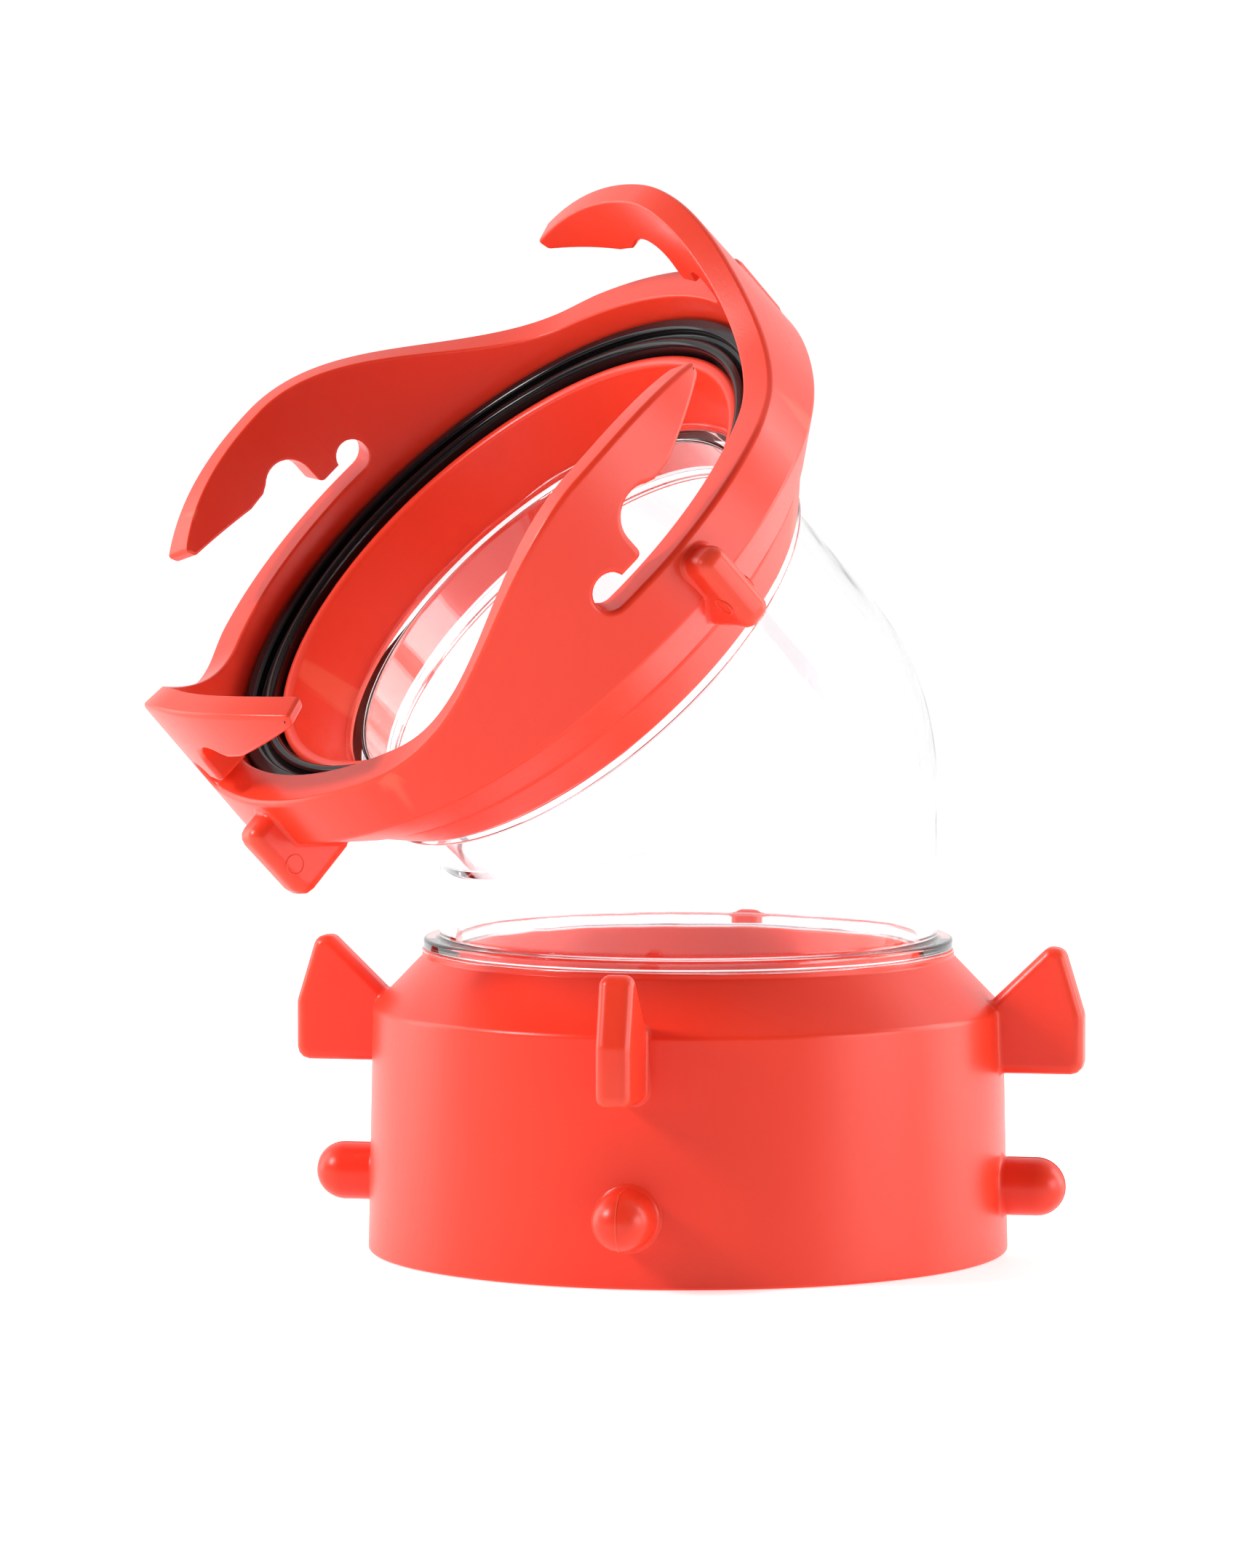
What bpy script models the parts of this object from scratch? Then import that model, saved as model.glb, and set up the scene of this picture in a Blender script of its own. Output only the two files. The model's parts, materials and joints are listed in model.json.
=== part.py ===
"""A clear 45 degree elbow for a 3-inch waste hose, with a swivelling bayonet ring at one end.

Frame: +Z up, the lug collar standing on Z = 0, the bend in the XZ plane with the bayonet end
leaning towards -X, and the origin under the middle of the whole object. Metres.
"""

import math

import bmesh
import bpy
from mathutils import Vector

MM = 0.001

# Driving dimensions.
COLLAR_RADIUS = 50.0 * MM  # the end that a hooked ring grips
TUBE_RADIUS = 38.8 * MM  # outside of the clear elbow
BEND_HEIGHT = 75.4 * MM  # where the two tube axes meet, above the collar's end face
BEND_ANGLE = math.radians(45)
COLLAR_X = 20.4 * MM  # the collar's axis, from the middle of the whole object
CLEARANCE = 0.3 * MM  # between parts that touch
TURN_STEPS = 72  # straight sides in a full turn
RING_STEPS = 96
PEG_STEPS = 16

# Clear elbow.
TUBE_WALL = 2.6 * MM
BEND_RADIUS = 5.0 * MM
THROAT_RADIUS = 1.2 * MM
FLANGE_RADIUS = 41.35 * MM
FLANGE_THICKNESS = 1.7 * MM
SPIGOT_LENGTH = 7.4 * MM  # the part that is cemented into each red socket
BEND_STEPS = 8
TUBE_STEPS = 60

# Lug collar.
COLLAR_TOP = 46.9 * MM
COLLAR_SHOULDER = 38.0 * MM
COLLAR_DRAFT = 0.8 * MM
COLLAR_WALL = 4.0 * MM
NECK_RADIUS = 41.5 * MM
NECK_LENGTH = 0.9 * MM
CONE_WALL = 3.6 * MM
END_BEVEL = 0.5 * MM
LUG_COUNT = 4
LUG_TURN = math.radians(46.8)  # of the pegs and fins about the collar's axis
PEG_RADIUS = 4.5 * MM
PEG_HEIGHT = 10.85 * MM
PEG_REACH = 59.5 * MM
PEG_ROOT_FLARE = 0.8 * MM
FIN_REACH = 62.4 * MM
FIN_THICKNESS = 5.3 * MM
FIN_BEVEL = 1.8 * MM
FIN_FOOT = 28.5 * MM  # heights on the collar: under a fin, where its nose leans back, its top
FIN_BROW = 37.8 * MM
FIN_APEX = 48.4 * MM
FIN_CROWN = 3.0 * MM  # length of the fin's top
FIN_LEAN = 3.0 * MM  # how far back the crown starts from the nose
FIN_SEAT_RISE = 1.6 * MM  # where the fin's back meets the cone, above the shoulder

# Distances along the swivel axis, from the bend point.
HUB_REAR = 28.6 * MM
RING_REAR = 36.8 * MM
RING_WEB_FRONT = 41.2 * MM
WALL_REAR = 44.5 * MM
HUB_FLANGE_FRONT = 44.7 * MM
HUB_FRONT = 47.0 * MM
GASKET_FRONT = 49.2 * MM
WALL_DRAFT_START = 48.0 * MM  # the ring's inside opens out from here to the crests
SLOT_FLOOR = 53.1 * MM
HOOK_CREST = 72.3 * MM
RING_FIN_CROWN = 51.2 * MM

# Radii about the swivel axis.
SOCKET_RADIUS = TUBE_RADIUS + CLEARANCE
HUB_REAR_RADIUS = 42.4 * MM
SNAP_RADIUS = 47.5 * MM
GROOVE_RADIUS = 45.7 * MM
RING_BORE_RADIUS = 46.0 * MM
PILOT_RADIUS = 44.1 * MM
PILOT_BORE_RADIUS = 42.0 * MM
RING_INNER_RADIUS = 50.3 * MM
RING_OUTER_RADIUS = 57.0 * MM
RING_REAR_RADIUS = 49.4 * MM
INNER_DRAFT = 0.07  # slope of the ring's inside
OUTER_DRAFT = 0.03  # slope of the ring's outside

# Bayonet hooks: angles are measured from the relief hole at each hook's root.
HOOK_COUNT = 4
HOOK_PITCH = 360.0 / HOOK_COUNT
FIRST_HOOK = 77.0
HOOK_ROOT_ANGLE = -46.0
HOOK_CREST_ANGLE = 7.5
HOOK_TIP_ANGLE = 36.8
HOOK_TIP_DROP = 4.2 * MM
HOOK_TIP_CURVE = 2.5  # exponent of the fall from crest to tip
HOOK_TIP_DEPTH = 1.9 * MM
HOOK_TIP_LEAN = 1.0
NIB_ANGLE = 16.8
NIB_FLAT = 3.7
NIB_LEVEL = 62.7 * MM
RELIEF_RADIUS = 2.8 * MM
TONGUE_LEVEL = 56.5 * MM
SEAT_ANGLE = 12.2
SEAT_RADIUS = 4.5 * MM
SEAT_LEVEL = 59.9 * MM
BACK_STEPS = 10  # straight steps from a crest to its tip
RAMP_STEPS = 16  # and up a ramp
WRAP_STEP = 4.0  # degrees between the cutter's columns
FLAT_CENTRE = -26.0
FLAT_HALF_ANGLE = 25.4
FLAT_DEPTH = 1.2 * MM
RING_FIN_ANGLE = 13.0
RING_FIN_REACH = 62.0 * MM
RING_FIN_THICKNESS = 5.3 * MM

RED = (0.93, 0.09, 0.045, 1.0)
CLEAR = (0.93, 0.92, 0.95, 0.3)
BLACK = (0.012, 0.012, 0.013, 1.0)


def clear_scene():
    for obj in list(bpy.data.objects):
        bpy.data.objects.remove(obj)


def new_collection(name):
    collection = bpy.data.collections.new(name)
    bpy.context.scene.collection.children.link(collection)
    return collection


def new_material(name, colour, roughness, transmission=0.0):
    material = bpy.data.materials.new(name)
    material.use_nodes = True
    shader = material.node_tree.nodes["Principled BSDF"]
    shader.inputs["Base Color"].default_value = colour
    shader.inputs["Roughness"].default_value = roughness
    shader.inputs["Metallic"].default_value = 0.0
    shader.inputs["Transmission Weight"].default_value = transmission
    return material


def new_axis(name, location, tilt, collection):
    axis = bpy.data.objects.new(name, None)
    axis.location = location
    axis.rotation_euler = (0.0, -tilt, 0.0)
    collection.objects.link(axis)
    return axis


def new_object(name, mesh, collection, parent, material=None):
    obj = bpy.data.objects.new(name, mesh)
    collection.objects.link(obj)
    obj.parent = parent
    if material:
        mesh.materials.append(material)
        mesh.shade_smooth()
        mesh.set_sharp_from_angle(angle=math.radians(35))
    return obj


def new_cutter(name, mesh, collection, parent):
    cutter = new_object(name, mesh, collection, parent)
    cutter.hide_render = True
    cutter.display_type = "WIRE"
    return cutter


def add_boolean(obj, operation, cutter):
    modifier = obj.modifiers.new(cutter.name, "BOOLEAN")
    modifier.operation = operation
    modifier.solver = "EXACT"
    modifier.object = cutter


def mesh_from(name, bm):
    mesh = bpy.data.meshes.new(name)
    bm.to_mesh(mesh)
    bm.free()
    return mesh


def turned(name, profile, collection, parent, material=None, steps=TURN_STEPS, closed=True):
    """A solid of revolution about the parent's Z from (radius, height) points."""
    bm = bmesh.new()
    points = [bm.verts.new((radius, 0.0, height)) for radius, height in profile]
    for first, second in zip(points, points[1:]):
        bm.edges.new((first, second))
    if closed:
        bm.edges.new((points[-1], points[0]))
    obj = new_object(name, mesh_from(name, bm), collection, parent, material)
    screw = obj.modifiers.new("Screw", "SCREW")
    screw.steps = steps
    screw.render_steps = steps
    screw.use_smooth_shade = True
    screw.use_merge_vertices = True
    screw.merge_threshold = 0.01 * MM
    return obj


def arc(centre, radius, start, end, count):
    """Points on an arc in a plane, ends included, with the angles in degrees."""
    angles = [math.radians(start + (end - start) * i / count) for i in range(count + 1)]
    return [(centre[0] + radius * math.cos(t), centre[1] + radius * math.sin(t)) for t in angles]


def fin_mesh(name, outline, thickness, bevel):
    """An upright plate with rounded edges, from one outline of (radius, height) points."""
    bm = bmesh.new()
    bm.faces.new([bm.verts.new((radius, -thickness / 2, height)) for radius, height in outline])
    grown = bmesh.ops.extrude_face_region(bm, geom=list(bm.faces))
    moved = [item for item in grown["geom"] if isinstance(item, bmesh.types.BMVert)]
    bmesh.ops.translate(bm, verts=moved, vec=(0.0, thickness, 0.0))
    bmesh.ops.recalc_face_normals(bm, faces=bm.faces)
    bmesh.ops.bevel(bm, geom=list(bm.edges), offset=bevel, segments=3, profile=0.5,
                    affect="EDGES", clamp_overlap=True, material=-1)
    bmesh.ops.recalc_face_normals(bm, faces=bm.faces)
    return mesh_from(name, bm)


def add_fins(body, mesh, turns, cutters, parent):
    """Copies of one fin round the body, joined to it."""
    for index, turn in enumerate(turns):
        fin = new_cutter(f"{mesh.name}_{index + 1}", mesh, cutters, parent)
        fin.rotation_euler = (0.0, 0.0, turn)
        add_boolean(body, "UNION", fin)


def spaced_turns(first, count):
    return [first + index * math.tau / count for index in range(count)]


def bend_fillet(offset, radius):
    """Where a generator that lies this far towards the inside of the bend leaves its line."""
    mitre = -offset * math.tan(BEND_ANGLE / 2)
    return mitre - radius * math.tan(BEND_ANGLE / 2)


def bend_radius(offset):
    """The generator's own bend radius, which fades to the throat's on the inside of the bend."""
    free = BEND_RADIUS - offset - THROAT_RADIUS
    return THROAT_RADIUS + (free + math.sqrt(free * free + THROAT_RADIUS**2)) / 2


def elbow_point(radius, turn, height=None, bend=None, reach=None):
    """A point of the elbow's wall: below the bend, part way round it, or beyond it."""
    offset = radius * math.cos(turn)
    side = radius * math.sin(turn)
    if height is not None:
        return Vector((-offset, side, height - BEND_HEIGHT))
    if reach is not None:
        inside = Vector((-math.cos(BEND_ANGLE), 0.0, -math.sin(BEND_ANGLE)))
        along = Vector((-math.sin(BEND_ANGLE), 0.0, math.cos(BEND_ANGLE)))
        return inside * offset + along * reach + Vector((0.0, side, 0.0))
    fillet = bend_radius(offset)
    start = bend_fillet(offset, fillet)
    angle = BEND_ANGLE * bend
    return Vector((-offset - fillet + fillet * math.cos(angle), side,
                   start + fillet * math.sin(angle)))


def elbow_sections():
    """The elbow's wall as (radius, where) rings, up the outside and back down the bore."""
    seat = COLLAR_TOP + CLEARANCE
    hub_seat = HUB_REAR - CLEARANCE
    bore = TUBE_RADIUS - TUBE_WALL
    bends = [index / BEND_STEPS for index in range(BEND_STEPS + 1)]
    outside = [
        (TUBE_RADIUS, {"height": seat - SPIGOT_LENGTH}),
        (TUBE_RADIUS, {"height": seat}),
        (FLANGE_RADIUS, {"height": seat}),
        (FLANGE_RADIUS, {"height": seat + FLANGE_THICKNESS}),
        (TUBE_RADIUS, {"height": seat + FLANGE_THICKNESS}),
        *[(TUBE_RADIUS, {"bend": bend}) for bend in bends],
        (TUBE_RADIUS, {"reach": hub_seat - FLANGE_THICKNESS}),
        (FLANGE_RADIUS, {"reach": hub_seat - FLANGE_THICKNESS}),
        (FLANGE_RADIUS, {"reach": hub_seat}),
        (TUBE_RADIUS, {"reach": hub_seat}),
        (TUBE_RADIUS, {"reach": hub_seat + SPIGOT_LENGTH}),
    ]
    inside = [
        (bore, {"reach": hub_seat + SPIGOT_LENGTH}),
        *[(bore, {"bend": bend}) for bend in reversed(bends)],
        (bore, {"height": seat - SPIGOT_LENGTH}),
    ]
    return outside + inside


def loft(name, rows):
    """A closed tube through rows of points that wrap round, the last row joined to the first."""
    bm = bmesh.new()
    rings = [[bm.verts.new(point) for point in row] for row in rows]
    for lower, upper in zip(rings, rings[1:] + rings[:1]):
        for index, corner in enumerate(lower):
            before = index - 1
            bm.faces.new((lower[before], corner, upper[index], upper[before]))
    bmesh.ops.recalc_face_normals(bm, faces=bm.faces)
    return mesh_from(name, bm)


def make_clear_elbow(collection, parent, material):
    """A loft through unlike rings, because the bend is a mitre whose heel alone is rounded."""
    turns = spaced_turns(0.0, TUBE_STEPS)
    rows = [[elbow_point(radius, turn, **where) for turn in turns]
            for radius, where in elbow_sections()]
    return new_object("clear_elbow", loft("clear_elbow", rows), collection, parent, material)


def collar_profile():
    inner_cone = CONE_WALL * math.sqrt(2)
    inner = COLLAR_RADIUS - COLLAR_WALL
    shoulder = COLLAR_RADIUS - COLLAR_DRAFT
    cone_sum = shoulder + COLLAR_SHOULDER - inner_cone
    sleeve_end = COLLAR_TOP - SPIGOT_LENGTH
    return [
        (NECK_RADIUS, COLLAR_TOP),
        (NECK_RADIUS, COLLAR_TOP - NECK_LENGTH),
        (shoulder, COLLAR_SHOULDER),
        (COLLAR_RADIUS, END_BEVEL),
        (COLLAR_RADIUS - END_BEVEL, 0.0),
        (inner, 0.0),
        (inner - COLLAR_DRAFT / 2, cone_sum - inner + COLLAR_DRAFT / 2),
        (cone_sum - sleeve_end, sleeve_end),
        (SOCKET_RADIUS, sleeve_end),
        (SOCKET_RADIUS, COLLAR_TOP),
    ]


def peg_profile():
    """A round-ended peg along +Z with a flared root, measured from the collar's axis."""
    dome = arc((0.0, PEG_REACH - PEG_RADIUS), PEG_RADIUS, 90, 0, 5)
    root = [
        (PEG_RADIUS, COLLAR_RADIUS + 2 * PEG_ROOT_FLARE),
        (PEG_RADIUS + PEG_ROOT_FLARE, COLLAR_RADIUS),
        (PEG_RADIUS + PEG_ROOT_FLARE, COLLAR_RADIUS - COLLAR_WALL / 2),
        (0.0, COLLAR_RADIUS - COLLAR_WALL / 2),
    ]
    return dome + root


def collar_fin_outline():
    """The grip fin over a peg: it stands on the skirt and the cone."""
    root = COLLAR_RADIUS - COLLAR_WALL / 2
    crown = FIN_REACH - FIN_LEAN
    return [
        (root, FIN_FOOT),
        (FIN_REACH, FIN_FOOT),
        (FIN_REACH, FIN_BROW),
        (crown, FIN_APEX),
        (crown - FIN_CROWN, FIN_APEX),
        (root, COLLAR_SHOULDER + FIN_SEAT_RISE),
    ]


def make_lug_collar(collection, cutters, parent, material):
    collar = turned("lug_collar", collar_profile(), collection, parent, material)
    for index, turn in enumerate(spaced_turns(LUG_TURN, LUG_COUNT)):
        peg = turned(f"peg_{index + 1}", peg_profile(), cutters, parent, steps=PEG_STEPS, closed=False)
        peg.location = (0.0, 0.0, PEG_HEIGHT)
        peg.rotation_euler = (0.0, math.pi / 2, turn)
        peg.hide_render = True
        peg.display_type = "WIRE"
        add_boolean(collar, "UNION", peg)
    fin = fin_mesh("collar_fin", collar_fin_outline(), FIN_THICKNESS, FIN_BEVEL)
    add_fins(collar, fin, spaced_turns(LUG_TURN, LUG_COUNT), cutters, parent)
    return collar


def make_seal_hub(collection, parent, material):
    """The red sleeve on the elbow's upper end, over whose rear cone the ring snaps."""
    lip = (PILOT_RADIUS - PILOT_BORE_RADIUS) / 2
    crown = arc(((PILOT_RADIUS + PILOT_BORE_RADIUS) / 2, HUB_FRONT - lip), lip, 180, 0, 6)
    spigot_end = HUB_REAR - CLEARANCE + SPIGOT_LENGTH
    profile = crown + [
        (PILOT_RADIUS, HUB_FLANGE_FRONT),
        (RING_INNER_RADIUS - CLEARANCE, HUB_FLANGE_FRONT),
        (RING_INNER_RADIUS - CLEARANCE, RING_WEB_FRONT + CLEARANCE),
        (GROOVE_RADIUS, RING_WEB_FRONT + CLEARANCE),
        (GROOVE_RADIUS, RING_REAR - CLEARANCE),
        (SNAP_RADIUS, RING_REAR - CLEARANCE),
        (SNAP_RADIUS, RING_REAR - 5 * CLEARANCE),
        (HUB_REAR_RADIUS, HUB_REAR + END_BEVEL),
        (HUB_REAR_RADIUS - END_BEVEL, HUB_REAR),
        (SOCKET_RADIUS, HUB_REAR),
        (SOCKET_RADIUS, spigot_end + CLEARANCE),
    ]
    return turned("seal_hub", profile, collection, parent, material, steps=TUBE_STEPS)


def make_gasket(collection, parent, material):
    """A soft washer with a flat-topped outer lip, a valley and a lower inner lip."""
    inner = PILOT_RADIUS + CLEARANCE
    outer = RING_INNER_RADIUS - CLEARANCE
    lip = 1.0 * MM
    profile = [
        *arc((inner + lip, GASKET_FRONT - 0.5 * MM - lip), lip, 180, 20, 3),
        ((inner + outer) / 2 - lip / 2, GASKET_FRONT - 1.7 * MM),
        (outer - 2.6 * lip, GASKET_FRONT - 0.6 * MM),
        (outer - 2.2 * lip, GASKET_FRONT),
        (outer - 0.9 * lip, GASKET_FRONT),
        (outer, GASKET_FRONT - 0.9 * lip),
        (outer, HUB_FLANGE_FRONT + CLEARANCE),
        (inner, HUB_FLANGE_FRONT + CLEARANCE),
    ]
    return turned("gasket", profile, collection, parent, material, steps=TUBE_STEPS)


def hook_back(angle):
    """The height of a hook's back: a cosine ramp up to the crest, then a fall to the tip."""
    if angle <= HOOK_CREST_ANGLE:
        phase = math.pi * (HOOK_CREST_ANGLE - angle) / (HOOK_CREST_ANGLE - HOOK_ROOT_ANGLE)
        return SLOT_FLOOR + (HOOK_CREST - SLOT_FLOOR) * (1 + math.cos(phase)) / 2
    share = (angle - HOOK_CREST_ANGLE) / (HOOK_TIP_ANGLE - HOOK_CREST_ANGLE)
    return HOOK_CREST - HOOK_TIP_DROP * share**HOOK_TIP_CURVE


def hook_outline(per_degree):
    """One hook from crest to next crest, in (degrees, height), leaving out what is open.

    per_degree is the length of a degree on the wall, so that arcs stay round on it.
    """
    fall = HOOK_TIP_ANGLE - HOOK_CREST_ANGLE
    tip_back = [HOOK_CREST_ANGLE + fall * i / BACK_STEPS for i in range(BACK_STEPS + 1)]
    points = [(angle, hook_back(angle)) for angle in tip_back]
    tip_level = hook_back(HOOK_TIP_ANGLE)
    points.append((HOOK_TIP_ANGLE - HOOK_TIP_LEAN, tip_level - HOOK_TIP_DEPTH))
    points += [(NIB_ANGLE + NIB_FLAT, NIB_LEVEL), (NIB_ANGLE, NIB_LEVEL)]
    seat = arc((0.0, SEAT_LEVEL), SEAT_RADIUS, 50, 180, 6)
    points += [(SEAT_ANGLE + x / per_degree, height) for x, height in seat]
    relief = arc((0.0, SLOT_FLOOR + RELIEF_RADIUS), RELIEF_RADIUS, 15, 270, 8)
    points.append((SEAT_ANGLE - SEAT_RADIUS / per_degree, TONGUE_LEVEL))
    points += [(x / per_degree, height) for x, height in relief]
    rise = HOOK_CREST_ANGLE - HOOK_ROOT_ANGLE
    ramp = [HOOK_ROOT_ANGLE + rise * i / RAMP_STEPS for i in range(RAMP_STEPS)]
    points += [(angle + HOOK_PITCH, hook_back(angle)) for angle in ramp]
    return points


def hook_cutter_mesh():
    """Everything above the hooks: a flat strip, cut across every few degrees and wrapped round."""
    low, high = RING_INNER_RADIUS - 4 * MM, RING_OUTER_RADIUS + 5 * MM
    per_degree = math.radians(1) * (RING_INNER_RADIUS + RING_OUTER_RADIUS) / 2
    above = HOOK_CREST + 4 * MM
    edge = []
    for index in range(HOOK_COUNT):
        shift = FIRST_HOOK + index * HOOK_PITCH
        edge += [(angle + shift, height) for angle, height in hook_outline(per_degree)]
    start = FIRST_HOOK + HOOK_CREST_ANGLE
    edge += [(start + 360, HOOK_CREST), (start + 360, above), (start, above)]
    bm = bmesh.new()
    face = bm.faces.new([bm.verts.new((angle, low, height)) for angle, height in edge])
    grown = bmesh.ops.extrude_face_region(bm, geom=[face])
    moved = [item for item in grown["geom"] if isinstance(item, bmesh.types.BMVert)]
    bmesh.ops.translate(bm, verts=moved, vec=(0.0, high - low, 0.0))
    for index in range(1, int(360 / WRAP_STEP)):
        bmesh.ops.bisect_plane(bm, geom=list(bm.verts) + list(bm.edges) + list(bm.faces), dist=1e-6,
                               plane_co=(start + index * WRAP_STEP, 0, 0), plane_no=(1, 0, 0))
    ends = [face for face in bm.faces
            if all(abs(vert.co.x - start) < 1e-4 for vert in face.verts)
            or all(abs(vert.co.x - start - 360) < 1e-4 for vert in face.verts)]
    bmesh.ops.delete(bm, geom=ends, context="FACES")
    for vert in bm.verts:
        angle, radius, height = vert.co
        turn = math.radians(angle)
        vert.co = (radius * math.cos(turn), radius * math.sin(turn), height)
    bmesh.ops.remove_doubles(bm, verts=bm.verts, dist=0.002 * MM)
    bmesh.ops.recalc_face_normals(bm, faces=bm.faces)
    return mesh_from("hook_cutter", bm)


def flat_depth(angle):
    """How far the ring's outside is cut back: not at the fins, deepest under each hook's ramp."""
    from_centre = (angle - FIRST_HOOK - FLAT_CENTRE + HOOK_PITCH / 2) % HOOK_PITCH - HOOK_PITCH / 2
    share = min(1.0, abs(from_centre) / FLAT_HALF_ANGLE)
    return FLAT_DEPTH * (1 - share**2)


def ring_section(angle):
    """The ring's closed outline at an angle, as (radius, height), before its hooks are cut."""
    cut = flat_depth(angle)
    return [
        (RING_OUTER_RADIUS - cut - OUTER_DRAFT * (HOOK_CREST - WALL_REAR), HOOK_CREST),
        (RING_OUTER_RADIUS - cut, WALL_REAR - cut),
        (RING_REAR_RADIUS, RING_REAR),
        (RING_BORE_RADIUS, RING_REAR),
        (RING_BORE_RADIUS, RING_WEB_FRONT),
        (RING_INNER_RADIUS, RING_WEB_FRONT),
        (RING_INNER_RADIUS, WALL_DRAFT_START),
        (RING_INNER_RADIUS + INNER_DRAFT * (HOOK_CREST - WALL_DRAFT_START), HOOK_CREST),
    ]


def ring_blank():
    """The ring before its fins are added and its hooks cut."""
    turns = spaced_turns(0.0, RING_STEPS)
    sections = [ring_section(math.degrees(turn)) for turn in turns]
    rows = [[(radius * math.cos(turn), radius * math.sin(turn), height)
             for turn, (radius, height) in zip(turns, row)] for row in zip(*sections)]
    return loft("bayonet_ring", rows)


def ring_fin_outline():
    """A grip fin that runs down the wall and over the rear chamfer."""
    foot = RING_REAR + CLEARANCE
    wall = RING_INNER_RADIUS + 2 * MM
    web = RING_BORE_RADIUS + 1 * MM
    return [
        (web, foot),
        (RING_FIN_REACH, foot),
        (RING_FIN_REACH, RING_FIN_CROWN),
        (wall, RING_FIN_CROWN + CLEARANCE),
        (wall, RING_WEB_FRONT + 1 * MM),
    ]


def make_bayonet_ring(collection, cutters, parent, material):
    """One moulding: a drafted blank with flats, with fins added and its hooks cut."""
    ring = new_object("bayonet_ring", ring_blank(), collection, parent, material)
    turns = spaced_turns(math.radians(FIRST_HOOK + RING_FIN_ANGLE), HOOK_COUNT)
    fin = fin_mesh("ring_fin", ring_fin_outline(), RING_FIN_THICKNESS, FIN_BEVEL)
    add_fins(ring, fin, turns, cutters, parent)
    add_boolean(ring, "DIFFERENCE", new_cutter("hook_cutter", hook_cutter_mesh(), cutters, parent))
    return ring


def main():
    clear_scene()
    parts = new_collection("waste_hose_elbow")
    cutters = new_collection("cutters")
    red = new_material("red_moulding", RED, 0.32)
    clear = new_material("clear_moulding", CLEAR, 0.05, transmission=1.0)
    black = new_material("black_rubber", BLACK, 0.22)
    collar_axis = new_axis("collar_axis", (COLLAR_X, 0.0, 0.0), 0.0, parts)
    bend_point = new_axis("bend_point", (COLLAR_X, 0.0, BEND_HEIGHT), 0.0, parts)
    swivel_axis = new_axis("swivel_axis", (COLLAR_X, 0.0, BEND_HEIGHT), BEND_ANGLE, parts)
    make_lug_collar(parts, cutters, collar_axis, red)
    make_clear_elbow(parts, bend_point, clear)
    make_seal_hub(parts, swivel_axis, red)
    make_gasket(parts, swivel_axis, black)
    make_bayonet_ring(parts, cutters, swivel_axis, red)


main()
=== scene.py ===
"""Looks of a clear 45 degree waste hose elbow with a pegged collar and a swivelling hook ring.

Every mesh is shaped in millimetres about its own turning axis and then settled into the
frame, in metres. The collar stands on Z = 0 and the hook ring leans towards -X.
"""

from __future__ import annotations

import json
import logging
import math
from dataclasses import dataclass
from enum import Enum
from typing import Any, Callable, Sequence

import bmesh
import bpy
from mathutils import Matrix, Vector
from mathutils.bvhtree import BVHTree

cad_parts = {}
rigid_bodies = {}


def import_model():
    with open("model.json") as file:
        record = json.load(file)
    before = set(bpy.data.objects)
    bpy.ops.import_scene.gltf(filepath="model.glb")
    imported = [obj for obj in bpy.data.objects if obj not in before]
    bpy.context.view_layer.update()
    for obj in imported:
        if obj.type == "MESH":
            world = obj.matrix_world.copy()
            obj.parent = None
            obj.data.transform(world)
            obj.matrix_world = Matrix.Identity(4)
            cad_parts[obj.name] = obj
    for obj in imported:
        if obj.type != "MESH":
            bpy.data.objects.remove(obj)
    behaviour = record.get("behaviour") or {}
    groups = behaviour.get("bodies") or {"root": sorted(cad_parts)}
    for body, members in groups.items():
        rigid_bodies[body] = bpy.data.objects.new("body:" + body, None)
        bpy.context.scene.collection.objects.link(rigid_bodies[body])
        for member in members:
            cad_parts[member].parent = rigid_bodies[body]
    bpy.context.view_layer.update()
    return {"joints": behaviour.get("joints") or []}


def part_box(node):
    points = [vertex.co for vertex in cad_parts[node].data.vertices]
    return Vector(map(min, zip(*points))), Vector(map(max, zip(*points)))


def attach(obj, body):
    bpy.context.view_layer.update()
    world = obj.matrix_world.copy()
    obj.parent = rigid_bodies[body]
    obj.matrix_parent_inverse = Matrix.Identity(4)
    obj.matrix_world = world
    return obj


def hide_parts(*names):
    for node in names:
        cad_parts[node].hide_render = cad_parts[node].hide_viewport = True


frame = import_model()

LOG = logging.getLogger("waste_hose_elbow")
MM = 0.001
MERGE = 0.002  # millimetres
SHARP_ANGLE = math.radians(38)
FINE_STEPS = 180
EDGE_SEGMENTS = 5
WHITE = (1.0, 1.0, 1.0, 1.0)
Point = tuple[float, float]
Colour = tuple[float, float, float, float]


class Slot(Enum):
    """The record's material slots."""

    RED = "red_plastic"
    CLEAR = "clear_plastic"
    RUBBER = "black_rubber"


class Body(Enum):
    """The bodies that pieces ride on."""

    FITTING = "fitting"
    RING = "ring"


# ---------------------------------------------------------------- places


@dataclass(frozen=True)
class Axis:
    """A turning axis in the frame: a piece's local Z, from a point that is its local zero."""

    origin: Vector
    direction: Vector

    def matrix(self) -> Matrix:
        """Local millimetres to the frame's metres, with local Y along the frame's Y."""
        across = Vector((0.0, 1.0, 0.0))
        side = across.cross(self.direction).normalized()
        turn = Matrix((side, across, self.direction)).transposed()
        return Matrix.Translation(self.origin) @ turn.to_4x4() @ Matrix.Scale(MM, 4)


def collar_axis() -> Axis:
    """The upright axis of the pegged collar, from its end face."""
    low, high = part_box("lug_collar")
    return Axis(Vector(((low.x + high.x) / 2, 0.0, low.z)), Vector((0.0, 0.0, 1.0)))


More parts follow.
